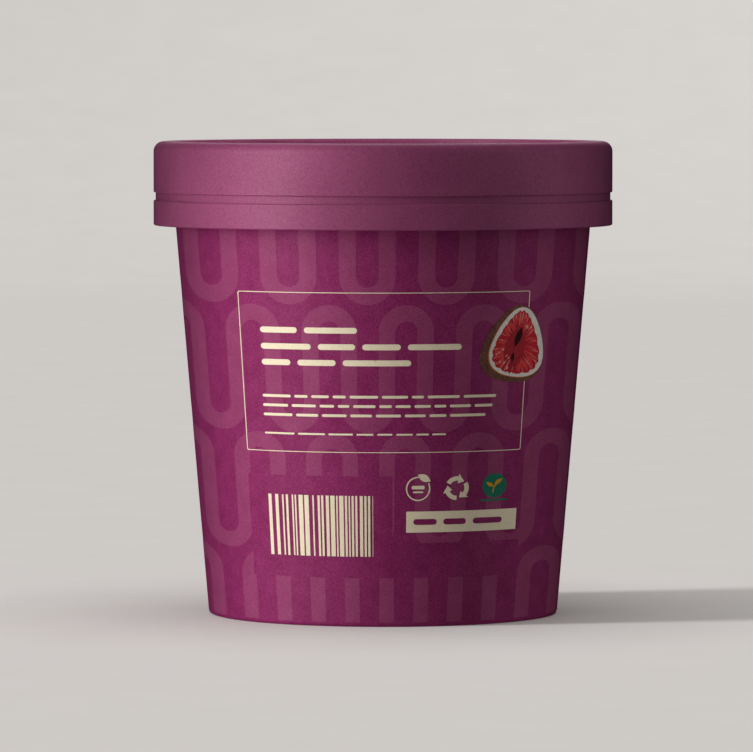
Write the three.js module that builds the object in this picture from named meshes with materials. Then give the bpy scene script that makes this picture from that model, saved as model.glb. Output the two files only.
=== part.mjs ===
// A shut round tub for dipped berries, the size of a one-pint ice-cream tub: a tapered
// paperboard tub with a rolled rim, filled and shut, its round board base set up inside
// the foot, and a pressed-on plastic lid with a grip groove round its skirt.
// The origin is the centre of the ring that it stands on, and the label faces -Y.
import * as THREE from "three";

// Driving sizes, in millimetres
const LID_RADIUS = 50;
const OVERALL_HEIGHT = 102.9;
const BASE_RADIUS = 38;
const WALL_SLOPE = 0.0845;
const GAP = 0.3;
const SIDES = 64;

// Lid
const SKIRT_HEIGHT = 18.25;
const SKIRT_THICKNESS = 1;
const SHOULDER_ROUNDING = 2.2;
const LIP_ROUNDING = 0.35;
const GROOVE_BELOW_TOP = 11.05;
const GROOVE_WIDTH = 1.75;
const GROOVE_DEPTH = 0.45;
const GROOVE_ROUNDING = 0.15;
const RECESS_RADIUS = 44.9;
const RECESS_DEPTH = 2.4;
const RECESS_WALL = 0.8;
const PANEL_THICKNESS = 1;
const CREST_ROUNDING = 0.6;
const STACKING_RING_RADIUS = 36;
const STACKING_RING_WIDTH = 1.2;
const STACKING_RING_HEIGHT = 0.4;

// Tub and its base
const RIM_SIZE = 1.35;
const FOOT_ROUNDING = 0.8;
const FOLD_THICKNESS = 1.6;
const FOLD_HEIGHT = 5;
const FOLD_ROUNDING = 0.3;
const LINING_THICKNESS = 1.2;
const BASE_THICKNESS = 0.5;
const BASE_LIFT = 6;

// Sizes that follow from them
const LIP_HEIGHT = OVERALL_HEIGHT - SKIRT_HEIGHT;
const GROOVE_TOP = OVERALL_HEIGHT - GROOVE_BELOW_TOP;
const PANEL_TOP = OVERALL_HEIGHT - RECESS_DEPTH;
const PANEL_UNDERSIDE = PANEL_TOP - PANEL_THICKNESS;
const CREST_UNDERSIDE = OVERALL_HEIGHT - SKIRT_THICKNESS;
const RIM_CENTRE_RADIUS = LID_RADIUS - SKIRT_THICKNESS - GAP - RIM_SIZE;
const RIM_CENTRE_HEIGHT = CREST_UNDERSIDE - GAP - RIM_SIZE;
const CONTENTS_TOP = PANEL_UNDERSIDE - GAP;
const FOOT_CEILING = BASE_LIFT + BASE_THICKNESS + GAP;

function wallRadius(height) {
  return BASE_RADIUS + WALL_SLOPE * height;
}

// Points on an arc in the outline's plane, from one angle to another in degrees
function arcPoints(centre, size, from, to, steps) {
  const points = [];
  for (let step = 0; step <= steps; step += 1) {
    const angle = THREE.MathUtils.degToRad(from + ((to - from) * step) / steps);
    const outward = new THREE.Vector2(Math.cos(angle), Math.sin(angle));
    points.push(outward.multiplyScalar(size).add(centre));
  }
  return points;
}

// The points that round one corner of an outline by a quadratic curve between its two edges
function roundedCorner(before, corner, after, rounding, steps) {
  const start = corner.clone().lerp(before, rounding / corner.distanceTo(before));
  const end = corner.clone().lerp(after, rounding / corner.distanceTo(after));
  return new THREE.QuadraticBezierCurve(start, corner, end).getPoints(steps);
}

// An outline from corners of [radius, height] or [radius, height, rounding, steps]
function outlineThrough(corners) {
  const places = corners.map(([radius, height]) => new THREE.Vector2(radius, height));
  return corners.flatMap(([, , rounding, steps], index) => {
    if (!rounding) {
      return [places[index]];
    }
    return roundedCorner(places[index - 1], places[index], places[index + 1], rounding, steps);
  });
}

function turnedPart(name, outline, look) {
  const geometry = new THREE.LatheGeometry(outline, SIDES);
  const part = new THREE.Mesh(geometry, new THREE.MeshStandardMaterial(look));
  part.name = name;
  part.rotation.x = Math.PI / 2;
  return part;
}

// The moulded lid: panel underside, rim channel, skirt with its groove, then the recessed top
function makeLid() {
  const grooveFloor = LID_RADIUS - GROOVE_DEPTH;
  const grooveBottom = GROOVE_TOP - GROOVE_WIDTH;
  const channelInside = RECESS_RADIUS + RECESS_WALL;
  const skirtInside = LID_RADIUS - SKIRT_THICKNESS;
  const ringOuter = STACKING_RING_RADIUS + STACKING_RING_WIDTH / 2;
  const ringInner = STACKING_RING_RADIUS - STACKING_RING_WIDTH / 2;
  const ringTop = PANEL_TOP + STACKING_RING_HEIGHT;
  const ringBevel = STACKING_RING_HEIGHT / 2;
  const outline = outlineThrough([
    [0, PANEL_UNDERSIDE],
    [channelInside, PANEL_UNDERSIDE],
    [channelInside, CREST_UNDERSIDE],
    [skirtInside, CREST_UNDERSIDE],
    [skirtInside, LIP_HEIGHT],
    [LID_RADIUS, LIP_HEIGHT, LIP_ROUNDING, 2],
    [LID_RADIUS, grooveBottom, GROOVE_ROUNDING, 1],
    [grooveFloor, grooveBottom],
    [grooveFloor, GROOVE_TOP],
    [LID_RADIUS, GROOVE_TOP, GROOVE_ROUNDING, 1],
    [LID_RADIUS, OVERALL_HEIGHT, SHOULDER_ROUNDING, 5],
    [RECESS_RADIUS, OVERALL_HEIGHT, CREST_ROUNDING, 2],
    [RECESS_RADIUS, PANEL_TOP],
    [ringOuter, PANEL_TOP],
    [ringOuter - ringBevel, ringTop],
    [ringInner + ringBevel, ringTop],
    [ringInner, PANEL_TOP],
    [0, PANEL_TOP],
  ]);
  return turnedPart("lid", outline, { color: 0x934167, roughness: 0.5, metalness: 0 });
}

// The filled tub: the ceiling of its foot, the folded-in bottom edge, the tapered wall,
// the rolled rim, then the top of what fills it, just under the lid
function makeTub() {
  const rimCentre = new THREE.Vector2(RIM_CENTRE_RADIUS, RIM_CENTRE_HEIGHT);
  const rimInside = RIM_CENTRE_RADIUS - RIM_SIZE;
  const rolledRim = arcPoints(rimCentre, RIM_SIZE, 225, 540, 12);
  const wallTop = rolledRim[0];
  const outline = [
    ...outlineThrough([
      [0, FOOT_CEILING],
      [wallRadius(FOOT_CEILING) - LINING_THICKNESS, FOOT_CEILING],
      [wallRadius(FOLD_HEIGHT) - LINING_THICKNESS, FOLD_HEIGHT],
      [wallRadius(FOLD_HEIGHT) - FOLD_THICKNESS, FOLD_HEIGHT],
      [BASE_RADIUS - FOLD_THICKNESS, 0, FOLD_ROUNDING, 2],
      [BASE_RADIUS, 0, FOOT_ROUNDING, 4],
      [wallTop.x, wallTop.y],
    ]),
    ...rolledRim.slice(1),
    new THREE.Vector2(rimInside, CONTENTS_TOP),
    new THREE.Vector2(0, CONTENTS_TOP),
  ];
  return turnedPart("tub", outline, { color: 0x862857, roughness: 0.6, metalness: 0 });
}

// The board disc that closes the bottom, up inside the foot
function makeBaseDisc() {
  const radius = wallRadius(BASE_LIFT) - LINING_THICKNESS - GAP;
  const top = BASE_LIFT + BASE_THICKNESS;
  const outline = outlineThrough([
    [0, BASE_LIFT],
    [radius, BASE_LIFT],
    [radius, top],
    [0, top],
  ]);
  return turnedPart("base_disc", outline, { color: 0xd9cfbf, roughness: 0.85, metalness: 0 });
}

const shutTub = new THREE.Group();
shutTub.add(makeTub(), makeBaseDisc(), makeLid());

export default shutTub;
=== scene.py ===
import math
import random

import bmesh
import bpy
from mathutils import Matrix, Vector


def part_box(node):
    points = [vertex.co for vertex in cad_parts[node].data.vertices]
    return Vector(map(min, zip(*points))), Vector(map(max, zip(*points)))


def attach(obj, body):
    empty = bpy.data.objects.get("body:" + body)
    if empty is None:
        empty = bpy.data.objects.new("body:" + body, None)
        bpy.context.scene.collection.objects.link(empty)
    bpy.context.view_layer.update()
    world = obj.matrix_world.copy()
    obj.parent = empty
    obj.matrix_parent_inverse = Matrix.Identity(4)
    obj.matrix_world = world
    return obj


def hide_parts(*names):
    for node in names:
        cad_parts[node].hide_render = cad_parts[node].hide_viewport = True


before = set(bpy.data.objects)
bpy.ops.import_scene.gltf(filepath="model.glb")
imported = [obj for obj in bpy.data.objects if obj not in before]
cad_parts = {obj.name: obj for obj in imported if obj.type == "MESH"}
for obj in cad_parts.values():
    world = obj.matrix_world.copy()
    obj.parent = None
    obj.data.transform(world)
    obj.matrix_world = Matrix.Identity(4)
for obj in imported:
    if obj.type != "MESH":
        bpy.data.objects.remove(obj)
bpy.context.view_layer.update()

# Moulded lid
# One injection moulding in plum polypropylene, pressed down over the tub's rolled rim. The
# skirt has a shallow grip groove all round, and the top is sunk inside the rim for stacking.
MM = 0.001
FULL_TURN = math.tau
MERGE_DISTANCE = 0.001 * MM
LID_STEPS = 288
lid_low, lid_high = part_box("lid")
LID_RADIUS = lid_high.x
LID_TOP = lid_high.z
LIP_HEIGHT = lid_low.z
SKIRT_THICKNESS = 1.0 * MM
GROOVE_TOP = LID_TOP - 11.05 * MM
GROOVE_WIDTH = 1.75 * MM
GROOVE_DEPTH = 0.45 * MM
RECESS_RADIUS = 44.9 * MM
RECESS_WALL = 0.8 * MM
PANEL_TOP = LID_TOP - 2.4 * MM
PANEL_THICKNESS = 1.0 * MM
STACKING_RING_RADIUS = 36.0 * MM
STACKING_RING_WIDTH = 1.2 * MM
STACKING_RING_HEIGHT = 0.4 * MM
STACKING_RING_SLOPE = 0.15 * MM
GATE_MARK_RADIUS = 2.2 * MM
GATE_MARK_DEPTH = 0.25 * MM
GATE_MARK_SLOPE = 0.3 * MM
CHANNEL_ROUNDING = 0.3 * MM
SKIRT_TOP_ROUNDING = 0.8 * MM
LIP_INSIDE_ROUNDING = 0.2 * MM
LIP_ROUNDING = 0.35 * MM
GROOVE_LOWER_ROUNDING = 0.24 * MM
GROOVE_FLOOR_ROUNDING = 0.12 * MM
GROOVE_UPPER_ROUNDING = 0.16 * MM
SHOULDER_ROUNDING = 2.2 * MM
CREST_ROUNDING = 0.6 * MM
RECESS_ROUNDING = 0.5 * MM
RING_FOOT_ROUNDING = 0.15 * MM
RING_TOP_ROUNDING = 0.12 * MM
GATE_EDGE_ROUNDING = 0.2 * MM
GATE_FLOOR_ROUNDING = 0.1 * MM


def linear(hex_colour):
    """An sRGB hex colour as the linear colour that a shader socket takes."""
    channels = [int(hex_colour[start:start + 2], 16) / 255 for start in (1, 3, 5)]
    return [c / 12.92 if c <= 0.04045 else ((c + 0.055) / 1.055) ** 2.4 for c in channels] + [1.0]


def add_node(tree, kind, inputs=None, **properties):
    """Adds a node, sets its properties, and sets or links each of its input sockets."""
    made = tree.nodes.new(kind)
    for name, value in properties.items():
        setattr(made, name, value)
    for name, value in (inputs or {}).items():
        if isinstance(value, bpy.types.NodeSocket):
            tree.links.new(value, made.inputs[name])
        else:
            made.inputs[name].default_value = value
    return made


def new_material(name):
    """An empty node material with a Principled shader, its tree and its object coordinates."""
    material = bpy.data.materials.new(name)
    material.use_nodes = True
    tree = material.node_tree
    shader = tree.nodes["Principled BSDF"]
    place = add_node(tree, "ShaderNodeTexCoord").outputs["Object"]
    return material, tree, shader, place


def moulded_polypropylene(name, colour, shade, spark_grain=0.4 * MM, flow_marks=14 * MM):
    """Semi-matte moulded plastic: a spark-eroded grain that softens the light, drawn coarser
    than the real one so that it shows, and faint cloudy flow marks in the plum."""
    material, tree, shader, place = new_material(name)
    flow = add_node(tree, "ShaderNodeTexNoise", {
        "Vector": place, "Scale": 1 / flow_marks, "Detail": 2.0})
    grain = add_node(tree, "ShaderNodeTexNoise", {
        "Vector": place, "Scale": 1 / spark_grain, "Detail": 3.0})
    cloud = add_node(tree, "ShaderNodeMapRange", {
        "Value": flow.outputs["Fac"], "From Min": 0.3, "From Max": 0.7, "To Min": 0.0, "To Max": 0.3})
    speckle = add_node(tree, "ShaderNodeMapRange", {
        "Value": grain.outputs["Fac"], "From Min": 0.25, "From Max": 0.75, "To Min": 0.0, "To Max": 0.75})
    tone = add_node(tree, "ShaderNodeMath", {0: cloud.outputs[0], 1: speckle.outputs[0]}, operation="ADD")
    blend = add_node(tree, "ShaderNodeMix", {
        "Factor": tone.outputs[0], "A": linear(colour), "B": linear(shade)}, data_type="RGBA")
    rough = add_node(tree, "ShaderNodeMapRange", {
        "Value": grain.outputs["Fac"], "From Min": 0.3, "From Max": 0.7, "To Min": 0.5, "To Max": 0.62})
    bump = add_node(tree, "ShaderNodeBump", {
        "Height": grain.outputs["Fac"], "Strength": 0.35, "Distance": 0.02 * MM})
    tree.links.new(blend.outputs["Result"], shader.inputs["Base Color"])
    tree.links.new(rough.outputs[0], shader.inputs["Roughness"])
    tree.links.new(bump.outputs["Normal"], shader.inputs["Normal"])
    shader.inputs["Specular IOR Level"].default_value = 0.16
    return material


def turned_mesh(corners, steps):
    """A closed mesh turned round the Z axis from corners of (radius, height) or, where the
    corner is rounded, (radius, height, setback, segments)."""
    mesh = bmesh.new()
    row = [mesh.verts.new((corner[0], 0, corner[1])) for corner in corners]
    for lower, upper in zip(row, row[1:]):
        mesh.edges.new((lower, upper))
    for vert, corner in zip(row, corners):
        if len(corner) > 2:
            bmesh.ops.bevel(mesh, geom=[vert], offset=corner[2], offset_type="OFFSET",
                            affect="VERTICES", segments=corner[3], profile=0.5, material=-1)
    bmesh.ops.spin(mesh, geom=mesh.verts[:] + mesh.edges[:], axis=(0, 0, 1), cent=(0, 0, 0),
                   angle=FULL_TURN, steps=steps, use_merge=True)
    bmesh.ops.remove_doubles(mesh, verts=mesh.verts, dist=MERGE_DISTANCE)
    bmesh.ops.recalc_face_normals(mesh, faces=mesh.faces)
    return mesh


def finished_piece(name, mesh, materials, sharp_angle=50):
    """Makes the piece from its mesh, shades it smooth between its sharp edges, and lets it
    ride on the tub's one body."""
    data = bpy.data.meshes.new(name)
    mesh.to_mesh(data)
    mesh.free()
    for material in materials:
        data.materials.append(material)
    data.shade_smooth()
    data.set_sharp_from_angle(angle=math.radians(sharp_angle))
    piece = bpy.data.objects.new(name, data)
    bpy.context.scene.collection.objects.link(piece)
    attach(piece, "root")
    return piece


def keep_flats_flat(piece):
    """Weights the shading normals by face area, so that wide faces shade flat beside bevels."""
    weighted = piece.modifiers.new("Flat faces shade flat", "WEIGHTED_NORMAL")
    weighted.weight = 90
    weighted.keep_sharp = True


def lid_corners():
    """The lid's outline: panel underside, rim channel, skirt with its groove, sunken top."""
    groove_floor = LID_RADIUS - GROOVE_DEPTH
    groove_bottom = GROOVE_TOP - GROOVE_WIDTH
    channel_inside = RECESS_RADIUS + RECESS_WALL
    skirt_inside = LID_RADIUS - SKIRT_THICKNESS
    crest_underside = LID_TOP - SKIRT_THICKNESS
    panel_underside = PANEL_TOP - PANEL_THICKNESS
    ring_outer = STACKING_RING_RADIUS + STACKING_RING_WIDTH / 2
    ring_inner = STACKING_RING_RADIUS - STACKING_RING_WIDTH / 2
    ring_top = PANEL_TOP + STACKING_RING_HEIGHT
    mark_floor = PANEL_TOP - GATE_MARK_DEPTH
    return [
        (0, panel_underside),
        (channel_inside, panel_underside, CHANNEL_ROUNDING, 3),
        (channel_inside, crest_underside, CHANNEL_ROUNDING, 3),
        (skirt_inside, crest_underside, SKIRT_TOP_ROUNDING, 4),
        (skirt_inside, LIP_HEIGHT, LIP_INSIDE_ROUNDING, 3),
        (LID_RADIUS, LIP_HEIGHT, LIP_ROUNDING, 5),
        (LID_RADIUS, groove_bottom, GROOVE_LOWER_ROUNDING, 4),
        (groove_floor, groove_bottom, GROOVE_FLOOR_ROUNDING, 3),
        (groove_floor, GROOVE_TOP, GROOVE_FLOOR_ROUNDING, 3),
        (LID_RADIUS, GROOVE_TOP, GROOVE_UPPER_ROUNDING, 4),
        (LID_RADIUS, LID_TOP, SHOULDER_ROUNDING, 12),
        (RECESS_RADIUS, LID_TOP, CREST_ROUNDING, 6),
        (RECESS_RADIUS, PANEL_TOP, RECESS_ROUNDING, 5),
        (ring_outer, PANEL_TOP, RING_FOOT_ROUNDING, 3),
        (ring_outer - STACKING_RING_SLOPE, ring_top, RING_TOP_ROUNDING, 3),
        (ring_inner + STACKING_RING_SLOPE, ring_top, RING_TOP_ROUNDING, 3),
        (ring_inner, PANEL_TOP, RING_FOOT_ROUNDING, 3),
        (GATE_MARK_RADIUS, PANEL_TOP, GATE_EDGE_ROUNDING, 3),
        (GATE_MARK_RADIUS - GATE_MARK_SLOPE, mark_floor, GATE_FLOOR_ROUNDING, 3),
        (0, mark_floor),
    ]


lid_plastic = moulded_polypropylene("plum_moulded_polypropylene", "#984A70", "#7D355A")
lid_mesh = turned_mesh(lid_corners(), LID_STEPS)
lid = finished_piece("lid_moulding", lid_mesh, [lid_plastic])
keep_flats_flat(lid)
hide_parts("lid")

# Printed board tub
# A blank of coated paperboard wound into a cone and lapped at the back, its bottom edge
# folded in under the base, and its top edge rolled outwards inside the lid's rim.
WALL_STEPS = 360
BASE_RADIUS = 38.0 * MM
WALL_SLOPE = 0.0845
GAP = 0.3 * MM
RIM_SIZE = 1.35 * MM
FOLD_THICKNESS = 1.6 * MM
FOLD_HEIGHT = 5.0 * MM
FLAP_EDGE_ROUNDING = 0.06 * MM
FOLD_ROUNDING = 0.3 * MM
FOOT_ROUNDING = 0.8 * MM
LINING_THICKNESS = 1.2 * MM
base_low, base_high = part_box("base_disc")
FOOT_CEILING = base_high.z + GAP
LAP_STEP = 0.38 * MM
LAP_FADE = math.radians(16)
LAP_EDGE_WIDTH = math.radians(0.12)
LAP_FOOT = 0.9 * MM
LAP_TOP = LID_TOP - 4 * MM
RIM_ROLL_START = 225
RIM_ROLL_END = 540
RIM_ROLL_STEPS = 18
CUT_TOLERANCE = 0.0001 * MM


def wall_radius(height):
    """The outside radius of the tapered wall at a height."""
    return BASE_RADIUS + WALL_SLOPE * height


def printed_board(name, ink, shade, fibre=0.36 * MM, cloud=4 * MM, speck_spacing=5 * MM):
    """Coated paperboard under a satin ink: a fibre tooth, drawn coarser than the real one so
    that it shows, faint cloudy uptake of the ink, and a rare dark speck."""
    material, tree, shader, place = new_material(name)
    tooth = add_node(tree, "ShaderNodeTexNoise", {"Vector": place, "Scale": 1 / fibre, "Detail": 4.0})
    uptake = add_node(tree, "ShaderNodeTexNoise", {"Vector": place, "Scale": 1 / cloud, "Detail": 3.0})
    dots = add_node(tree, "ShaderNodeTexVoronoi", {"Vector": place, "Scale": 1 / speck_spacing})
    fine = add_node(tree, "ShaderNodeMapRange", {
        "Value": tooth.outputs["Fac"], "From Min": 0.3, "From Max": 0.7, "To Min": 0.0, "To Max": 0.9})
    broad = add_node(tree, "ShaderNodeMapRange", {
        "Value": uptake.outputs["Fac"], "From Min": 0.3, "From Max": 0.7, "To Min": 0.0, "To Max": 0.4})
    tone = add_node(tree, "ShaderNodeMath", {0: fine.outputs[0], 1: broad.outputs[0]}, operation="ADD")
    sheet = add_node(tree, "ShaderNodeMix", {
        "Factor": tone.outputs[0], "A": linear(ink), "B": linear(shade)}, data_type="RGBA")
    speck = add_node(tree, "ShaderNodeMapRange", {
        "Value": dots.outputs["Distance"], "From Min": 0.02, "From Max": 0.045, "To Min": 0.5, "To Max": 0.0})
    marked = add_node(tree, "ShaderNodeMix", {
        "Factor": speck.outputs[0], "A": sheet.outputs["Result"], "B": linear("#2A0A1A")}, data_type="RGBA")
    rough = add_node(tree, "ShaderNodeMapRange", {
        "Value": uptake.outputs["Fac"], "From Min": 0.3, "From Max": 0.7, "To Min": 0.53, "To Max": 0.63})
    bump = add_node(tree, "ShaderNodeBump", {
        "Height": tooth.outputs["Fac"], "Strength": 0.4, "Distance": 0.025 * MM})
    tree.links.new(marked.outputs["Result"], shader.inputs["Base Color"])
    tree.links.new(rough.outputs[0], shader.inputs["Roughness"])
    tree.links.new(bump.outputs["Normal"], shader.inputs["Normal"])
    shader.inputs["Specular IOR Level"].default_value = 0.12
    return material


def unprinted_board(name, colour, shade, fibre=0.5 * MM):
    """Bare off-white board, as at a cut edge and under the base: matt, with long pale and
    darker fibres that run round the sheet."""
    material, tree, shader, place = new_material(name)
    along = add_node(tree, "ShaderNodeMapping", {"Vector": place, "Scale": (1.0, 0.25, 1.0)})
    fibres = add_node(tree, "ShaderNodeTexNoise", {
        "Vector": along.outputs["Vector"], "Scale": 1 / fibre, "Detail": 5.0, "Roughness": 0.65})
    tone = add_node(tree, "ShaderNodeMapRange", {
        "Value": fibres.outputs["Fac"], "From Min": 0.3, "From Max": 0.7, "To Min": 0.0, "To Max": 1.0})
    blend = add_node(tree, "ShaderNodeMix", {
        "Factor": tone.outputs[0], "A": linear(colour), "B": linear(shade)}, data_type="RGBA")
    bump = add_node(tree, "ShaderNodeBump", {
        "Height": fibres.outputs["Fac"], "Strength": 0.5, "Distance": 0.04 * MM})
    tree.links.new(blend.outputs["Result"], shader.inputs["Base Color"])
    tree.links.new(bump.outputs["Normal"], shader.inputs["Normal"])
    shader.inputs["Roughness"].default_value = 0.86
    return material


def tub_corners():
    """The tub's outline: ceiling of the foot, folded edge, tapered wall, rolled rim, contents."""
    rim_radius = LID_RADIUS - SKIRT_THICKNESS - GAP - RIM_SIZE
    rim_height = LID_TOP - SKIRT_THICKNESS - GAP - RIM_SIZE
    contents_top = PANEL_TOP - PANEL_THICKNESS - GAP
    roll = []
    for step in range(RIM_ROLL_STEPS + 1):
        turn = math.radians(RIM_ROLL_START + (RIM_ROLL_END - RIM_ROLL_START) * step / RIM_ROLL_STEPS)
        roll.append((rim_radius + RIM_SIZE * math.cos(turn),
                     rim_height + RIM_SIZE * math.sin(turn)))
    return [
        (0, FOOT_CEILING),
        (wall_radius(FOOT_CEILING) - LINING_THICKNESS, FOOT_CEILING),
        (wall_radius(FOLD_HEIGHT) - LINING_THICKNESS, FOLD_HEIGHT),
        (wall_radius(FOLD_HEIGHT) - FOLD_THICKNESS, FOLD_HEIGHT, FLAP_EDGE_ROUNDING, 2),
        (BASE_RADIUS - FOLD_THICKNESS, 0, FOLD_ROUNDING, 5),
        (BASE_RADIUS, 0, FOOT_ROUNDING, 8),
        *roll,
        (rim_radius - RIM_SIZE, contents_top),
        (0, contents_top),
    ]


def lap_lift(past_edge, height):
    """How far points at an angle past the lap's edge are raised. Only the print has points at
    these heights, so it stands off the wall here."""
    if not -LAP_FADE < past_edge < LAP_EDGE_WIDTH / 2 or not LAP_FOOT < height < LAP_TOP:
        return 0.0
    return LAP_STEP * (0.5 + 0.5 * math.cos(math.pi * past_edge / LAP_FADE))


def lap_the_wall(mesh):
    """Cuts the wall along the lap's edge at the back, where the wound blank overlaps. It is meant
    to stand the outer layer proud too, but the wall has no points at the raised heights, so it
    stays round."""
    across_edge = Matrix.Rotation(LAP_EDGE_WIDTH, 3, "Z").col[0]
    back_half = [face for face in mesh.faces if face.calc_center_median().y > 0]
    edges = {edge for face in back_half for edge in face.edges}
    verts = {vert for face in back_half for vert in face.verts}
    bmesh.ops.bisect_plane(mesh, geom=back_half + list(edges) + list(verts), dist=CUT_TOLERANCE,
                           plane_co=(0, 0, 0), plane_no=across_edge)
    just_inside = 0.1 * MM
    for vert in mesh.verts:
        radius = vert.co.xy.length
        if radius > wall_radius(vert.co.z) - just_inside:
            vert.co.xy *= (radius + lap_lift(math.atan2(vert.co.x, vert.co.y), vert.co.z)) / radius


def show_cut_edges(mesh, board_index):
    """Gives a thin strip at the lap's edge and the folded flap's cut edge the bare board's
    material."""
    just_inside = 0.2 * MM
    flap_edge_reach = 0.02 * MM
    for face in mesh.faces:
        centre = face.calc_center_median()
        from_axis = centre.xy.length
        at_lap = abs(math.atan2(centre.x, centre.y) - LAP_EDGE_WIDTH / 2) < LAP_EDGE_WIDTH / 2
        on_wall = from_axis > wall_radius(centre.z) - just_inside
        at_flap_height = abs(centre.z - FOLD_HEIGHT) < flap_edge_reach
        on_flap_edge = at_flap_height and from_axis < wall_radius(FOLD_HEIGHT)
        if (at_lap and on_wall and centre.z > LAP_FOOT) or on_flap_edge:
            face.material_index = board_index


ground_board = printed_board("plum_printed_board", "#943268", "#791B50")
plain_board = unprinted_board("bare_paperboard", "#DDD3C4", "#C9BDAA")
wall_mesh = turned_mesh(tub_corners(), WALL_STEPS)
lap_the_wall(wall_mesh)
show_cut_edges(wall_mesh, 1)
tub = finished_piece("tub_wall", wall_mesh, [ground_board, plain_board])
keep_flats_flat(tub)
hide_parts("tub")

# Base disc
# A round of unprinted off-white paperboard, die-cut, and set up inside the foot, where the
# folded edge of the wall clamps it.
BASE_EDGE_ROUNDING = 0.1 * MM
base_corners = [
    (0, base_low.z),
    (base_high.x, base_low.z, BASE_EDGE_ROUNDING, 3),
    (base_high.x, base_high.z, BASE_EDGE_ROUNDING, 3),
    (0, base_high.z),
]
base_mesh = turned_mesh(base_corners, WALL_STEPS)
base = finished_piece("base_board", base_mesh, [plain_board])
keep_flats_flat(base)
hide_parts("base_disc")

# Ribbon pattern
# The print's ground: one winding ribbon after another in a paler plum ink, in rows all round
# the wall. Ink has next to no thickness, so each print stands a few hundredths proud.
INK_SINK = 0.05 * MM
RIBBON_LIFT = 0.03 * MM
RIBBON_LANES = 4
TURN_STEPS = 18
TURNS_ROUND = 13
TURN_SHARE = 0.378
RIBBON_SHARE = 0.0815
CREST_SHARE = 0.1147
FRONT_SHARE = 0.93
ROUND_SHARE = TURNS_ROUND * TURN_SHARE / 2
BACK_SLOPE = 1.05
ROW_EDGES = [96.0 * MM, 68.75 * MM, 41.45 * MM, 16.05 * MM, -7.6 * MM]
PRINT_FOOT = 0.95 * MM
CLEAR_FIELDS = [(-45.0, 2.8, 10.5, 32.3), (2.8, 47.0, 10.5, 18.0)]


def azimuth_of(share):
    """The azimuth of a place in the flat art, from its share of the radius. The art lies
    straight across the front, then eases round to the lap at the back."""
    side = abs(share)
    if side <= FRONT_SHARE:
        return math.asin(share)
    start = math.asin(FRONT_SHARE)
    span = ROUND_SHARE - FRONT_SHARE
    front_slope = span / math.cos(start)
    back_slope = span * BACK_SLOPE
    rise = math.pi - start
    step = (side - FRONT_SHARE) / span
    turn = start + step * (front_slope + step * (3 * rise - 2 * front_slope - back_slope
                                                 + step * (front_slope + back_slope - 2 * rise)))
    return math.copysign(turn, share)


def flat_place(degrees, mid_radius):
    """Where an azimuth on the front lies in the flat art."""
    return math.sin(math.radians(degrees)) * mid_radius


def ribbon_row(top, bottom, mid_radius):
    """One winding ribbon laid flat: up a leg, over a crest, down a leg and under, all round."""
    mesh = bmesh.new()
    spacing = TURN_SHARE * mid_radius
    ribbon_width = RIBBON_SHARE * mid_radius
    turn_radius = spacing / 4
    reach = turn_radius + ribbon_width / 2
    leg_top = top - reach
    leg_bottom = bottom + reach
    first_crest = CREST_SHARE * mid_radius - spacing * (TURNS_ROUND // 2 + 1)
    start = first_crest - turn_radius - ribbon_width / 2
    lane = ribbon_width / RIBBON_LANES
    across = [mesh.verts.new((start + lane * count, leg_bottom, 0))
              for count in range(RIBBON_LANES + 1)]
    front = across + [mesh.edges.new(pair) for pair in zip(across, across[1:])]
    for count in range(TURNS_ROUND + 2):
        crest = first_crest + spacing * count
        front = grow_leg(mesh, front, leg_top - leg_bottom)
        front = grow_turn(mesh, front, (crest, leg_top, 0), -math.pi)
        front = grow_leg(mesh, front, leg_bottom - leg_top)
        front = grow_turn(mesh, front, (crest + spacing / 2, leg_bottom, 0), math.pi)
    bmesh.ops.remove_doubles(mesh, verts=mesh.verts, dist=MERGE_DISTANCE)
    cut_at(mesh, (-ROUND_SHARE * mid_radius, 0, 0), (1, 0, 0), clear_below=True)
    cut_at(mesh, (ROUND_SHARE * mid_radius, 0, 0), (-1, 0, 0), clear_below=True)
    return mesh


def grow_leg(mesh, front, rise):
    """Extends the ribbon straight up or down from its front edges, and gives the new front."""
    edges = [part for part in front if isinstance(part, bmesh.types.BMEdge)]
    grown = bmesh.ops.extrude_edge_only(mesh, edges=edges)["geom"]
    verts = [part for part in grown if isinstance(part, bmesh.types.BMVert)]
    bmesh.ops.translate(mesh, verts=verts, vec=(0, rise, 0))
    return verts + [part for part in grown if isinstance(part, bmesh.types.BMEdge)]


def grow_turn(mesh, front, centre, angle):
    """Carries the ribbon's front edges round half a turn, and gives the new front."""
    spun = bmesh.ops.spin(mesh, geom=front, cent=centre, axis=(0, 0, 1), angle=angle,
                          steps=TURN_STEPS)
    return [part for part in spun["geom_last"] if not isinstance(part, bmesh.types.BMFace)]


def cut_at(mesh, place, direction, clear_below=False):
    """Cuts the flat print along a line, and drops what lies below it if asked."""
    geometry = mesh.verts[:] + mesh.edges[:] + mesh.faces[:]
    bmesh.ops.bisect_plane(mesh, geom=geometry, dist=CUT_TOLERANCE, plane_co=place,
                           plane_no=direction, clear_inner=clear_below)


def clear_field(mesh, left, right, low, high):
    """Takes a rectangle out of the flat print."""
    cut_at(mesh, (left, 0, 0), (1, 0, 0))
    cut_at(mesh, (right, 0, 0), (1, 0, 0))
    cut_at(mesh, (0, low, 0), (0, 1, 0))
    cut_at(mesh, (0, high, 0), (0, 1, 0))
    inside = []
    for face in mesh.faces:
        centre = face.calc_center_median()
        if left < centre.x < right and low < centre.y < high:
            inside.append(face)
    bmesh.ops.delete(mesh, geom=inside, context="FACES")


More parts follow.
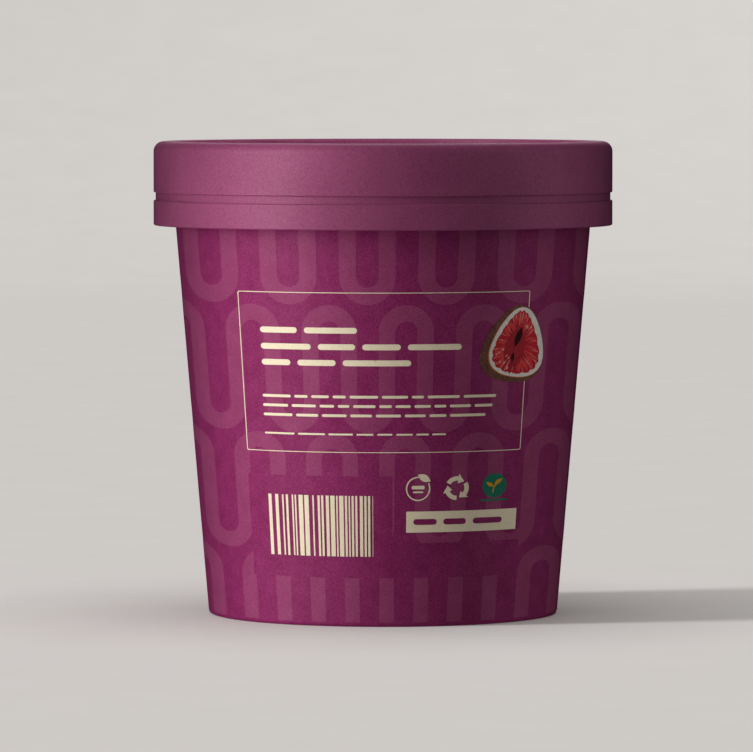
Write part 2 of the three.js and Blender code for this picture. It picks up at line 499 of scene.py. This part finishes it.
def thicken_print(mesh, lift):
    """Turns flat print into a closed film that starts inside the board and stands proud."""
    bmesh.ops.translate(mesh, verts=mesh.verts, vec=(0, 0, -INK_SINK))
    film = bmesh.ops.extrude_face_region(mesh, geom=mesh.faces[:], use_keep_orig=True)["geom"]
    risen = [part for part in film if isinstance(part, bmesh.types.BMVert)]
    bmesh.ops.translate(mesh, verts=risen, vec=(0, 0, INK_SINK + lift))
    bmesh.ops.recalc_face_normals(mesh, faces=mesh.faces)


def wrap_on_wall(mesh, mid_radius):
    """Bends flat print round the wall: X runs round it from the label's middle, Y is height
    and Z stands out of it."""
    for vert in mesh.verts:
        share = max(-ROUND_SHARE, min(ROUND_SHARE, vert.co.x / mid_radius))
        turn = azimuth_of(share)
        past_edge = math.atan2(math.sin(turn), -math.cos(turn))
        radius = wall_radius(vert.co.y) + lap_lift(past_edge, vert.co.y) + vert.co.z
        vert.co = (radius * math.sin(turn), -radius * math.cos(turn), vert.co.y)


def ribbon_pattern():
    """All rows of ribbon in one mesh, bent round the wall."""
    pattern = bmesh.new()
    for top, bottom in zip(ROW_EDGES, ROW_EDGES[1:]):
        mid_radius = wall_radius((max(bottom, 0) + top) / 2)
        row = ribbon_row(top, bottom, mid_radius)
        for left, right, low, high in CLEAR_FIELDS:
            sides = [flat_place(side, mid_radius) for side in (left, right)]
            clear_field(row, *sides, low * MM, high * MM)
        cut_at(row, (0, PRINT_FOOT, 0), (0, 1, 0), clear_below=True)
        thicken_print(row, RIBBON_LIFT)
        wrap_on_wall(row, mid_radius)
        data = bpy.data.meshes.new("row")
        row.to_mesh(data)
        row.free()
        pattern.from_mesh(data)
        bpy.data.meshes.remove(data)
    return pattern


ribbon_board = printed_board("paler_plum_ribbon_ink", "#98446F", "#88345D")
finished_piece("ribbon_print", ribbon_pattern(), [ribbon_board])

# Label frame
# A thin line with small round corners round the bars of print on the front, printed in
# cream ink on the same board.
LABEL_MIDDLE = 54 * MM
LABEL_RADIUS = wall_radius(LABEL_MIDDLE)
LABEL_LIFT = 0.045 * MM
FRAME_SIDES = (-44.8, 45.5)
FRAME_LOW = 37.3 * MM
FRAME_HIGH = 71.4 * MM
FRAME_LINE = 0.15 * MM
FRAME_CORNER = 0.4 * MM
CORNER_STEPS = 4
STRIP_WIDTH = 1.0 * MM
PRINT_EDGE_ANGLE = 30


def flat_rectangle(mesh, left, right, low, high, rounding=0.0):
    """Adds a flat rectangle, with round corners where asked."""
    places = [(left, low, 0), (right, low, 0), (right, high, 0), (left, high, 0)]
    corners = [mesh.verts.new(place) for place in places]
    mesh.faces.new(corners)
    if rounding:
        bmesh.ops.bevel(mesh, geom=corners, offset=rounding, offset_type="OFFSET",
                        affect="VERTICES", segments=CORNER_STEPS, profile=0.5, material=-1)


def cut_for_bending(mesh):
    """Cuts flat print into narrow strips, so that it follows the round wall closely."""
    left = min(vert.co.x for vert in mesh.verts)
    right = max(vert.co.x for vert in mesh.verts)
    strips = math.ceil((right - left) / STRIP_WIDTH)
    for count in range(1, strips):
        cut_at(mesh, (left + (right - left) * count / strips, 0, 0), (1, 0, 0))


def printed_piece(name, mesh, material, lift, middle):
    """Finishes flat print: cut for bending, thickened to a film and bent round the wall."""
    cut_for_bending(mesh)
    thicken_print(mesh, lift)
    wrap_on_wall(mesh, wall_radius(middle))
    finished_piece(name, mesh, [material], sharp_angle=PRINT_EDGE_ANGLE)


def frame_line():
    """The frame's closed line, drawn flat."""
    mesh = bmesh.new()
    sides = [flat_place(side, LABEL_RADIUS) for side in FRAME_SIDES]
    flat_rectangle(mesh, *sides, FRAME_LOW, FRAME_HIGH, FRAME_CORNER)
    outline = mesh.faces[:]
    bmesh.ops.inset_region(mesh, faces=outline, thickness=FRAME_LINE, use_boundary=True,
                           use_even_offset=True)
    bmesh.ops.delete(mesh, geom=outline, context="FACES")
    return mesh


RARE_SPECKS = 9 * MM
cream_board = printed_board("cream_ink_on_board", "#F2E4C8", "#E6D7B8", speck_spacing=RARE_SPECKS)
printed_piece("label_frame_line", frame_line(), cream_board, LABEL_LIFT,
              LABEL_MIDDLE)

# Word bars
# Rows of round-ended cream bars of word-like lengths: three bold rows, three fine rows and
# one thin row, printed with the frame in the same cream ink.
BOLD_BAR = 1.25 * MM
FINE_BAR = 0.58 * MM
THIN_BAR = 0.38 * MM
BOLD_ROWS = [(-37.1, -7.3, 63.3), (-37.1, 22.8, 59.8), (-37.1, 8.0, 56.4)]
FINE_ROWS = [(-37.4, 34.8, 49.2), (-37.4, 33.7, 47.2), (-37.4, 31.4, 45.2)]
THIN_ROWS = [(-37.3, 18.8, 41.2)]
WORD_SEED = 11
ROUND_END = 0.49


def word_bars(mesh, left, right, middle, thickness, lengths, gap, draw):
    """Adds one row of round-ended bars between two edges, with lengths drawn at random."""
    reach = left
    while reach < right:
        length = draw.uniform(*lengths)
        if right - (reach + length + gap) < lengths[0]:
            length = right - reach
        flat_rectangle(mesh, reach, reach + length, middle - thickness / 2, middle + thickness / 2,
                       rounding=ROUND_END * thickness)
        reach += length + gap


def label_words():
    """Every row of word bars inside the frame, drawn flat."""
    mesh = bmesh.new()
    draw = random.Random(WORD_SEED)
    styles = [
        (BOLD_ROWS, BOLD_BAR, (5 * MM, 11 * MM), 1.5 * MM),
        (FINE_ROWS, FINE_BAR, (2.4 * MM, 7 * MM), 0.8 * MM),
        (THIN_ROWS, THIN_BAR, (2.4 * MM, 6.5 * MM), 0.8 * MM),
    ]
    for rows, thickness, lengths, gap in styles:
        for left, right, middle in rows:
            sides = [flat_place(side, LABEL_RADIUS) for side in (left, right)]
            word_bars(mesh, *sides, middle * MM, thickness, lengths, gap, draw)
    return mesh


printed_piece("label_word_bars", label_words(), cream_board, LABEL_LIFT,
              LABEL_MIDDLE)

# Stripe code
# A block of upright stripes of mixed widths, as on any grocery pack, in the same cream ink.
# Its widths and gaps are drawn at random, so it codes nothing.
CODE_SIDES = (-37.3, -3.0)
CODE_LOW = 15.1 * MM
CODE_HIGH = 28.1 * MM
CODE_MIDDLE = (CODE_LOW + CODE_HIGH) / 2
STRIPE_WIDTHS = [0.3 * MM, 0.45 * MM, 0.65 * MM, 0.9 * MM]
STRIPE_GAPS = [0.32 * MM, 0.5 * MM, 0.8 * MM]
STRIPE_SEED = 5


def stripe_code():
    """The stripes, drawn flat, from the block's left edge to its right."""
    mesh = bmesh.new()
    draw = random.Random(STRIPE_SEED)
    reach, right = [flat_place(side, wall_radius(CODE_MIDDLE)) for side in CODE_SIDES]
    while reach < right:
        stripe = min(draw.choice(STRIPE_WIDTHS), right - reach)
        flat_rectangle(mesh, reach, reach + stripe, CODE_LOW, CODE_HIGH)
        reach += stripe + draw.choice(STRIPE_GAPS)
    return mesh


printed_piece("stripe_code", stripe_code(), cream_board, LABEL_LIFT, CODE_MIDDLE)

# Three small badges
# A ring with a leaf over two word bars, three arrows that follow each other round, and a
# green spot with a yellow sprig over a thin bar: plain signs, in cream, green and ochre ink.
BADGE_MIDDLE = 29.6 * MM
LEAF_RING_PLACE = 10.6
ARROW_RING_PLACE = 22.8
GREEN_SPOT_PLACE = 35.9
BADGE_RADIUS = 2.6 * MM
BADGE_STEPS = 48
RING_LINE = 0.28 * MM
RING_START = math.radians(82)
RING_SWEEP = math.radians(306)
RING_BARS = [
    (1.4 * MM, -0.1 * MM, 0.65 * MM, 0.3 * MM),
    (1.1 * MM, -0.9 * MM, -0.55 * MM, 0.15 * MM),
]
ARROW_COUNT = 3
ARROW_START = math.radians(150)
ARROW_SWEEP = math.radians(-68)
ARROW_BAND = (0.62, 0.98)
ARROW_HEAD_INSIDE = 0.4
ARROW_HEAD_OUTSIDE = 1.2
ARROW_TIP = 0.8
ARROW_HEAD_SWEEP = math.radians(38)
LEAF_STEPS = 28
TOP_LIFT = 0.06 * MM


def flat_leaf(mesh, centre, length, width, tilt):
    """Adds a flat leaf that is pointed at both ends: a circle pinched along its length."""
    verts = bmesh.ops.create_circle(mesh, cap_ends=True, radius=1.0, segments=LEAF_STEPS)["verts"]
    turn = Matrix.Rotation(tilt, 3, "Z")
    for vert in verts:
        pinch = math.sqrt(max(0.0, 1 - vert.co.x ** 2))
        vert.co.x *= length / 2
        vert.co.y *= pinch * width / 2
        vert.co = turn @ vert.co
        vert.co.x += centre[0]
        vert.co.y += centre[1]
    bmesh.ops.remove_doubles(mesh, verts=verts, dist=MERGE_DISTANCE)


def vert_round(mesh, centre, radius, angle):
    """Adds a vertex at a radius and angle from a centre in the flat print."""
    return mesh.verts.new((centre[0] + radius * math.cos(angle),
                           centre[1] + radius * math.sin(angle), 0))


def flat_arc(mesh, centre, inner, outer, start, sweep, steps=12):
    """Adds a flat curved band between two radii, by spinning its first edge."""
    ends = [vert_round(mesh, centre, radius, start) for radius in (inner, outer)]
    edge = mesh.edges.new(ends)
    bmesh.ops.spin(mesh, geom=ends + [edge], cent=(*centre, 0), axis=(0, 0, 1), angle=sweep,
                   steps=steps)


def flat_arrow(mesh, centre, start):
    """Adds one curved arrow: a band with a three-cornered head."""
    inner, outer = [BADGE_RADIUS * share for share in ARROW_BAND]
    flat_arc(mesh, centre, inner, outer, start, ARROW_SWEEP)
    head = [vert_round(mesh, centre, BADGE_RADIUS * reach, start + turn) for reach, turn in (
        (ARROW_HEAD_INSIDE, ARROW_SWEEP),
        (ARROW_HEAD_OUTSIDE, ARROW_SWEEP),
        (ARROW_TIP, ARROW_SWEEP - ARROW_HEAD_SWEEP))]
    mesh.faces.new(head)


def printed_layers(name, layers, middle):
    """Stacks flat prints of several inks in one piece: each is (flat mesh, ink, lift)."""
    stack = bmesh.new()
    for index, (flat, ink, lift) in enumerate(layers):
        cut_for_bending(flat)
        thicken_print(flat, lift)
        wrap_on_wall(flat, wall_radius(middle))
        for face in flat.faces:
            face.material_index = index
        data = bpy.data.meshes.new("layer")
        flat.to_mesh(data)
        flat.free()
        stack.from_mesh(data)
        bpy.data.meshes.remove(data)
    inks = [ink for flat, ink, lift in layers]
    finished_piece(name, stack, inks, sharp_angle=PRINT_EDGE_ANGLE)


def badge_at(place):
    """The middle of a badge in the flat print."""
    return (flat_place(place, wall_radius(BADGE_MIDDLE)), BADGE_MIDDLE)


def cream_badges():
    """The leaf ring and the arrow ring, drawn flat."""
    mesh = bmesh.new()
    across, up = badge_at(LEAF_RING_PLACE)
    flat_arc(mesh, (across, up), BADGE_RADIUS - RING_LINE, BADGE_RADIUS, RING_START, RING_SWEEP,
             steps=BADGE_STEPS)
    flat_leaf(mesh, (across + 1.25 * MM, up + 2.3 * MM), 3.0 * MM, 1.5 * MM, math.radians(-28))
    for half_width, low, high, rounding in RING_BARS:
        flat_rectangle(mesh, across - half_width, across + half_width, up + low, up + high, rounding)
    for count in range(ARROW_COUNT):
        start = ARROW_START + FULL_TURN * count / ARROW_COUNT
        flat_arrow(mesh, badge_at(ARROW_RING_PLACE), start)
    return mesh


def green_spot():
    """The green spot and the thin bar under it, drawn flat."""
    mesh = bmesh.new()
    across, up = badge_at(GREEN_SPOT_PLACE)
    spot = Matrix.Translation((across, up + 0.3 * MM, 0))
    bmesh.ops.create_circle(mesh, cap_ends=True, radius=BADGE_RADIUS, segments=BADGE_STEPS,
                            matrix=spot)
    flat_rectangle(mesh, across - 2.9 * MM, across + 2.9 * MM, up - 3.0 * MM, up - 2.6 * MM,
                   rounding=0.18 * MM)
    return mesh


def ochre_sprig():
    """The sprig on the green spot: a stem with two leaves, drawn flat."""
    mesh = bmesh.new()
    across, up = badge_at(GREEN_SPOT_PLACE)
    flat_arc(mesh, (across + 1.6 * MM, up - 0.9 * MM), 1.75 * MM, 2.0 * MM, math.radians(190),
             math.radians(-75))
    flat_leaf(mesh, (across - 0.95 * MM, up + 0.55 * MM), 1.9 * MM, 0.8 * MM, math.radians(150))
    flat_leaf(mesh, (across + 0.75 * MM, up + 1.1 * MM), 2.1 * MM, 0.85 * MM, math.radians(35))
    return mesh


green_board = printed_board("green_ink_on_board", "#1E7A60", "#1A6B55", speck_spacing=RARE_SPECKS)
ochre_board = printed_board("ochre_ink_on_board", "#D9A321", "#C8931C", speck_spacing=RARE_SPECKS)
printed_piece("cream_badges", cream_badges(), cream_board, LABEL_LIFT, BADGE_MIDDLE)
green_layers = [
    (green_spot(), green_board, LABEL_LIFT),
    (ochre_sprig(), ochre_board, TOP_LIFT),
]
printed_layers("green_badge", green_layers, BADGE_MIDDLE)

# Weight panel
# A solid bar along the lower right of the front in cream ink, with three word bars on it in
# the plum of the ground.
PANEL_SIDES = (7.1, 45.4)
PANEL_LOW = 20.25 * MM
PANEL_HIGH = 24.75 * MM
PANEL_MIDDLE = (PANEL_LOW + PANEL_HIGH) / 2
PANEL_WORDS = [(9.3, 16.6), (18.7, 26.2), (28.6, 39.4)]


def weight_panel():
    """The cream bar, drawn flat."""
    mesh = bmesh.new()
    sides = [flat_place(side, wall_radius(PANEL_MIDDLE)) for side in PANEL_SIDES]
    flat_rectangle(mesh, *sides, PANEL_LOW, PANEL_HIGH)
    return mesh


def weight_words():
    """The plum bars on it, drawn flat."""
    mesh = bmesh.new()
    low, high = PANEL_MIDDLE - BOLD_BAR / 2, PANEL_MIDDLE + BOLD_BAR / 2
    for word in PANEL_WORDS:
        sides = [flat_place(side, wall_radius(PANEL_MIDDLE)) for side in word]
        flat_rectangle(mesh, *sides, low, high, rounding=ROUND_END * BOLD_BAR)
    return mesh


panel_layers = [
    (weight_panel(), cream_board, LABEL_LIFT),
    (weight_words(), ground_board, TOP_LIFT),
]
printed_layers("weight_panel", panel_layers, PANEL_MIDDLE)

# Printed berry
# A cut berry over the frame's right side, in flat inks: a brown chocolate shell with a thin
# toffee line, a white coat, and red flesh in lobes round a deep red heart with a dark core.
BERRY_PLACE = 40.6
BERRY_MIDDLE = 60.2 * MM
BERRY_WIDTH = 12.7 * MM
BERRY_HEIGHT = 16.5 * MM
BERRY_TILT = math.radians(-9)
BERRY_TAPER = 0.36
BERRY_SQUARENESS = 0.86
BERRY_LOBES = 19
FLESH_WIDTH = 0.7
FLESH_HEIGHT = 0.78
FLESH_SHIFT = (0.1, 0.05)
FLESH_TAPER = 0.62
COAT_TAPER = 0.43
HEART_DROPS = [((0.02, -0.16), 10.4, 4.4, 81)]
CORE_DROPS = [((0.08, 0.18), 4.4, 1.3, 72), ((0.02, -0.36), 2.2, 0.7, 84)]
LOBE_START_SCATTER = 0.3
LOBE_END_SCATTER = 0.1
SHINE_COUNT = 11
SHINE_DIRECTIONS = (20, 45, 70, 200, 250, 300)
SHINE_SCATTER = 18
SHINE_REACH = (0.6, 0.95)
SHINE_LENGTH = (0.35 * MM, 0.8 * MM)
SHINE_WIDTH = (0.18 * MM, 0.34 * MM)
LAYER_STEP = 0.01 * MM
BERRY_SEED = 3


def berry_point(across, up, taper=BERRY_TAPER):
    """A place on the berry, as shares of its half width and half height, in the flat print."""
    wide = across * (1 - taper * up) * BERRY_WIDTH / 2
    tall = up * BERRY_HEIGHT / 2
    return (wide * math.cos(BERRY_TILT) - tall * math.sin(BERRY_TILT)
            + flat_place(BERRY_PLACE, wall_radius(BERRY_MIDDLE)),
            wide * math.sin(BERRY_TILT) + tall * math.cos(BERRY_TILT) + BERRY_MIDDLE)


def egg_point(width, height, turn, shift, taper):
    """A place on an egg-shaped ring, at shares of the berry's width and height, in a direction
    from its middle."""
    across = math.copysign(abs(math.cos(turn)) ** BERRY_SQUARENESS, math.cos(turn))
    up = math.copysign(abs(math.sin(turn)) ** BERRY_SQUARENESS, math.sin(turn))
    return berry_point(width * across + shift[0], height * up + shift[1], taper)


def berry_field(width, height, shift=(0.0, 0.0), taper=BERRY_TAPER, ripple=0.0):
    """An egg-shaped field of ink, with lobes round its edge where it has a ripple."""
    mesh = bmesh.new()
    circle = bmesh.ops.create_circle(mesh, cap_ends=True, radius=1.0, segments=8 * BERRY_LOBES)
    for vert in circle["verts"]:
        turn = math.atan2(vert.co.y, vert.co.x)
        swell = 1 + ripple * abs(math.sin(turn * BERRY_LOBES / 2))
        vert.co = (*egg_point(width * swell, height * swell, turn, shift, taper), 0)
    return mesh


def flesh_point(share, turn):
    """A place in the flesh, at a share of the way from its middle to its edge."""
    return egg_point(share * FLESH_WIDTH, share * FLESH_HEIGHT, turn, FLESH_SHIFT, FLESH_TAPER)


def berry_lobes(inner, outer, width, jitter, count=BERRY_LOBES):
    """Long drops of ink from near the heart out to the edge, all round the berry."""
    mesh = bmesh.new()
    draw = random.Random(BERRY_SEED)
    for lobe in range(count):
        turn = FULL_TURN * (lobe + 0.5 + draw.uniform(-jitter, jitter)) / count
        low = flesh_point(inner + LOBE_START_SCATTER * draw.uniform(-jitter, jitter), turn)
        high = flesh_point(outer + LOBE_END_SCATTER * draw.uniform(-jitter, jitter), turn)
        middle = ((low[0] + high[0]) / 2, (low[1] + high[1]) / 2)
        flat_leaf(mesh, middle, math.dist(low, high), width * draw.uniform(1 - jitter, 1 + jitter),
                  math.atan2(high[1] - low[1], high[0] - low[0]))
    return mesh


def berry_drops(drops):
    """Upright drops of ink down the middle of the flesh, each from its place as shares of the
    berry, its length and width in millimetres, and its tilt in degrees."""
    mesh = bmesh.new()
    for place, length, width, tilt in drops:
        flat_leaf(mesh, berry_point(*place), length * MM, width * MM, math.radians(tilt))
    return mesh


def berry_shines():
    """Small pale shines on the wet flesh, towards its right and lower left."""
    mesh = bmesh.new()
    draw = random.Random(BERRY_SEED)
    for _ in range(SHINE_COUNT):
        direction = draw.choice(SHINE_DIRECTIONS) + draw.uniform(-SHINE_SCATTER, SHINE_SCATTER)
        turn = math.radians(direction)
        place = flesh_point(draw.uniform(*SHINE_REACH), turn)
        flat_leaf(mesh, place, draw.uniform(*SHINE_LENGTH), draw.uniform(*SHINE_WIDTH), turn)
    return mesh


shell_ink = printed_board("chocolate_ink_on_board", "#8A5C4C", "#57342A", cloud=2 * MM)
toffee_ink = printed_board("toffee_ink_on_board", "#C97B42", "#B26A35")
coat_ink = printed_board("white_ink_on_board", "#F1EBE4", "#D2C9C0", cloud=2 * MM)
flesh_ink = printed_board("red_ink_on_board", "#CE2834", "#AC1A28", cloud=1.5 * MM)
lobe_ink = printed_board("light_red_ink_on_board", "#DF4A46", "#C8303A", cloud=1.5 * MM)
vein_ink = printed_board("pink_ink_on_board", "#EDA399", "#DD877F")
heart_ink = printed_board("deep_red_ink_on_board", "#B42836", "#961C2A", cloud=1.5 * MM)
shine_ink = printed_board("pale_peach_ink_on_board", "#E8B4A2", "#DA9C8A")
core_ink = printed_board("dark_red_ink_on_board", "#3C1416", "#2A0C0E")
berry_layers = [
    (berry_field(1.0, 1.0), shell_ink),
    (berry_field(0.885, 0.91, (0.105, 0.045), COAT_TAPER), toffee_ink),
    (berry_field(0.865, 0.895, (0.12, 0.05), COAT_TAPER), coat_ink),
    (berry_field(FLESH_WIDTH, FLESH_HEIGHT, FLESH_SHIFT, FLESH_TAPER, ripple=0.055), flesh_ink),
    (berry_lobes(0.36, 0.99, 1.2 * MM, 0.25), lobe_ink),
    (berry_drops(HEART_DROPS), heart_ink),
    (berry_lobes(0.34, 0.7, 0.3 * MM, 0.5), heart_ink),
    (berry_lobes(0.72, 1.04, 0.13 * MM, 0.45, count=23), vein_ink),
    (berry_drops(CORE_DROPS), core_ink),
    (berry_shines(), shine_ink),
]
stacked_layers = [(flat, ink, TOP_LIFT + LAYER_STEP * index)
                  for index, (flat, ink) in enumerate(berry_layers)]
printed_layers("berry_picture", stacked_layers, BERRY_MIDDLE)

# Studio
# A plain painted sweep, pale, with a raised edge all round and even lights of its own. The tub
# has a near strip light on each side of its front, two boxes that give only its sheen, and
# soft boxes at its left, behind it and over it.
SWEEP_RADIUS = 2.6
SWEEP_EDGE = 0.9
SWEEP_FLARE = 0.6
SWEEP_ROUNDING = 0.8
SWEEP_STEPS = 128
MOTTLE_SIZE = 0.025
AIM_HEIGHT = 0.055
LIGHT_DISTANCE = 1.1
STRIP_SIZE = (0.012, 0.3)
STRIP_ROLL = 6
SIDE_BOX_SIZE = (0.25, 0.4)
sweep_corners = [
    (0, 0),
    (SWEEP_RADIUS, 0, SWEEP_ROUNDING, 16),
    (SWEEP_RADIUS + SWEEP_FLARE, SWEEP_EDGE),
]
sweep_mesh = turned_mesh(sweep_corners, SWEEP_STEPS)
sweep_data = bpy.data.meshes.new("studio_sweep")
sweep_mesh.to_mesh(sweep_data)
sweep_mesh.free()
sweep_data.shade_smooth()
sweep = bpy.data.objects.new("studio_sweep", sweep_data)
bpy.context.scene.collection.objects.link(sweep)
sweep_paint, sweep_tree, sweep_shader, sweep_place = new_material("pale_sweep_paint")
sweep_mottle = add_node(sweep_tree, "ShaderNodeTexNoise", {
    "Vector": sweep_place, "Scale": 1 / MOTTLE_SIZE, "Detail": 2.0})
sweep_tone = add_node(sweep_tree, "ShaderNodeMix", {
    "Factor": sweep_mottle.outputs["Fac"], "A": linear("#D9D5D2"), "B": linear("#D3CFCB")},
    data_type="RGBA")
sweep_tree.links.new(sweep_tone.outputs["Result"], sweep_shader.inputs["Base Color"])
sweep_shader.inputs["Roughness"].default_value = 0.9
sweep_data.materials.append(sweep_paint)
sweep.visible_diffuse = False
sweep.visible_glossy = False
sweep.visible_shadow = False


def place_light(name, light, azimuth, elevation, pieces, distance=LIGHT_DISTANCE, roll=0):
    """Aims a light at the tub from an azimuth and elevation, and lets it reach only the given
    pieces, so that the floor's evenness and the tub's shading are set apart."""
    lamp = bpy.data.objects.new(name, light)
    bpy.context.scene.collection.objects.link(lamp)
    turn = Matrix.Rotation(math.radians(azimuth), 4, "Z")
    lean = Matrix.Rotation(math.radians(90 - elevation), 4, "X")
    reach = Matrix.Translation((0, 0, distance))
    tip = Matrix.Rotation(math.radians(roll), 4, "Z")
    lamp.matrix_world = Matrix.Translation((0, 0, AIM_HEIGHT)) @ turn @ lean @ reach @ tip
    lamp.visible_camera = False
    lit = bpy.data.collections.new("lit_by_" + name)
    for piece in pieces:
        lit.objects.link(piece)
    lamp.light_linking.receiver_collection = lit
    return lamp


def softbox(name, azimuth, elevation, size, power, **placing):
    """A soft rectangular light on the tub, of a width and height."""
    light = bpy.data.lights.new(name, "AREA")
    light.shape = "RECTANGLE"
    light.size, light.size_y = size
    light.energy = power
    return place_light(name, light, azimuth, elevation, pack_pieces, **placing)


def floor_light(name, azimuth, elevation, strength, softness):
    """An even light on the floor, across which the tub throws its shadow."""
    light = bpy.data.lights.new(name, "SUN")
    light.energy = strength
    light.angle = math.radians(softness)
    return place_light(name, light, azimuth, elevation, [sweep])


pack_pieces = [piece for piece in bpy.context.scene.objects
               if piece.type == "MESH" and piece != sweep]
floor_light("floor_overhead", 0, 90, strength=1.6, softness=60)
floor_light("floor_side", -76, 15, strength=3.4, softness=9)
key = softbox("key_strip", -36, 0, STRIP_SIZE, 0.103, distance=0.1, roll=-STRIP_ROLL)
shine = softbox("shine", -58, 14, SIDE_BOX_SIZE, 15)
right_shine = softbox("right_shine", 88, 14, SIDE_BOX_SIZE, 1.5)
fill = softbox("fill_strip", 50, 0, STRIP_SIZE, 0.0142, distance=0.085, roll=STRIP_ROLL)
side = softbox("side_light", -92, 5, SIDE_BOX_SIZE, 2.4)
back = softbox("back_light", 180, 14, (0.4, 0.6), 3)
softbox("crest_light", 180, 36, (0.5, 0.5), 2)
over_lid = softbox("over_lid_light", 0, 90, (0.06, 0.06), 0.03, distance=0.09)
near_top = softbox("near_top_light", 4, 55, (0.15, 0.15), 0.045, distance=0.3)
for sheen_only in (shine, right_shine):
    sheen_only.visible_diffuse = False
for no_sheen in (key, fill, side, back, over_lid, near_top):
    no_sheen.visible_glossy = False
world = bpy.data.worlds.new("soft_room")
world.use_nodes = True
background = world.node_tree.nodes["Background"]
background.inputs["Color"].default_value = linear("#E8E6E4")
background.inputs["Strength"].default_value = 0.18
world.cycles_visibility.glossy = False
bpy.context.scene.world = world

# Camera
# A long lens from well back, just above the level of the lid and tipped down a little. Its
# place, tilt and length were fitted to the tub's outline in the photograph.
CAMERA_DISTANCE = 1.3786
CAMERA_HEIGHT = 0.1193
LENS_LENGTH = 302.2
SENSOR_WIDTH = 36.0
PITCH = math.radians(2.81)
YAW = math.radians(0.059)
NEAREST = 0.05
FARTHEST = 20
lens = bpy.data.cameras.new("camera")
lens.lens = LENS_LENGTH
lens.sensor_width = SENSOR_WIDTH
lens.clip_start = NEAREST
lens.clip_end = FARTHEST
camera = bpy.data.objects.new("camera", lens)
bpy.context.scene.collection.objects.link(camera)
camera.location = (0, -CAMERA_DISTANCE, CAMERA_HEIGHT)
camera.rotation_euler = (math.pi / 2 - PITCH, 0, YAW)
bpy.context.scene.camera = camera
bpy.context.scene.view_settings.view_transform = "Standard"
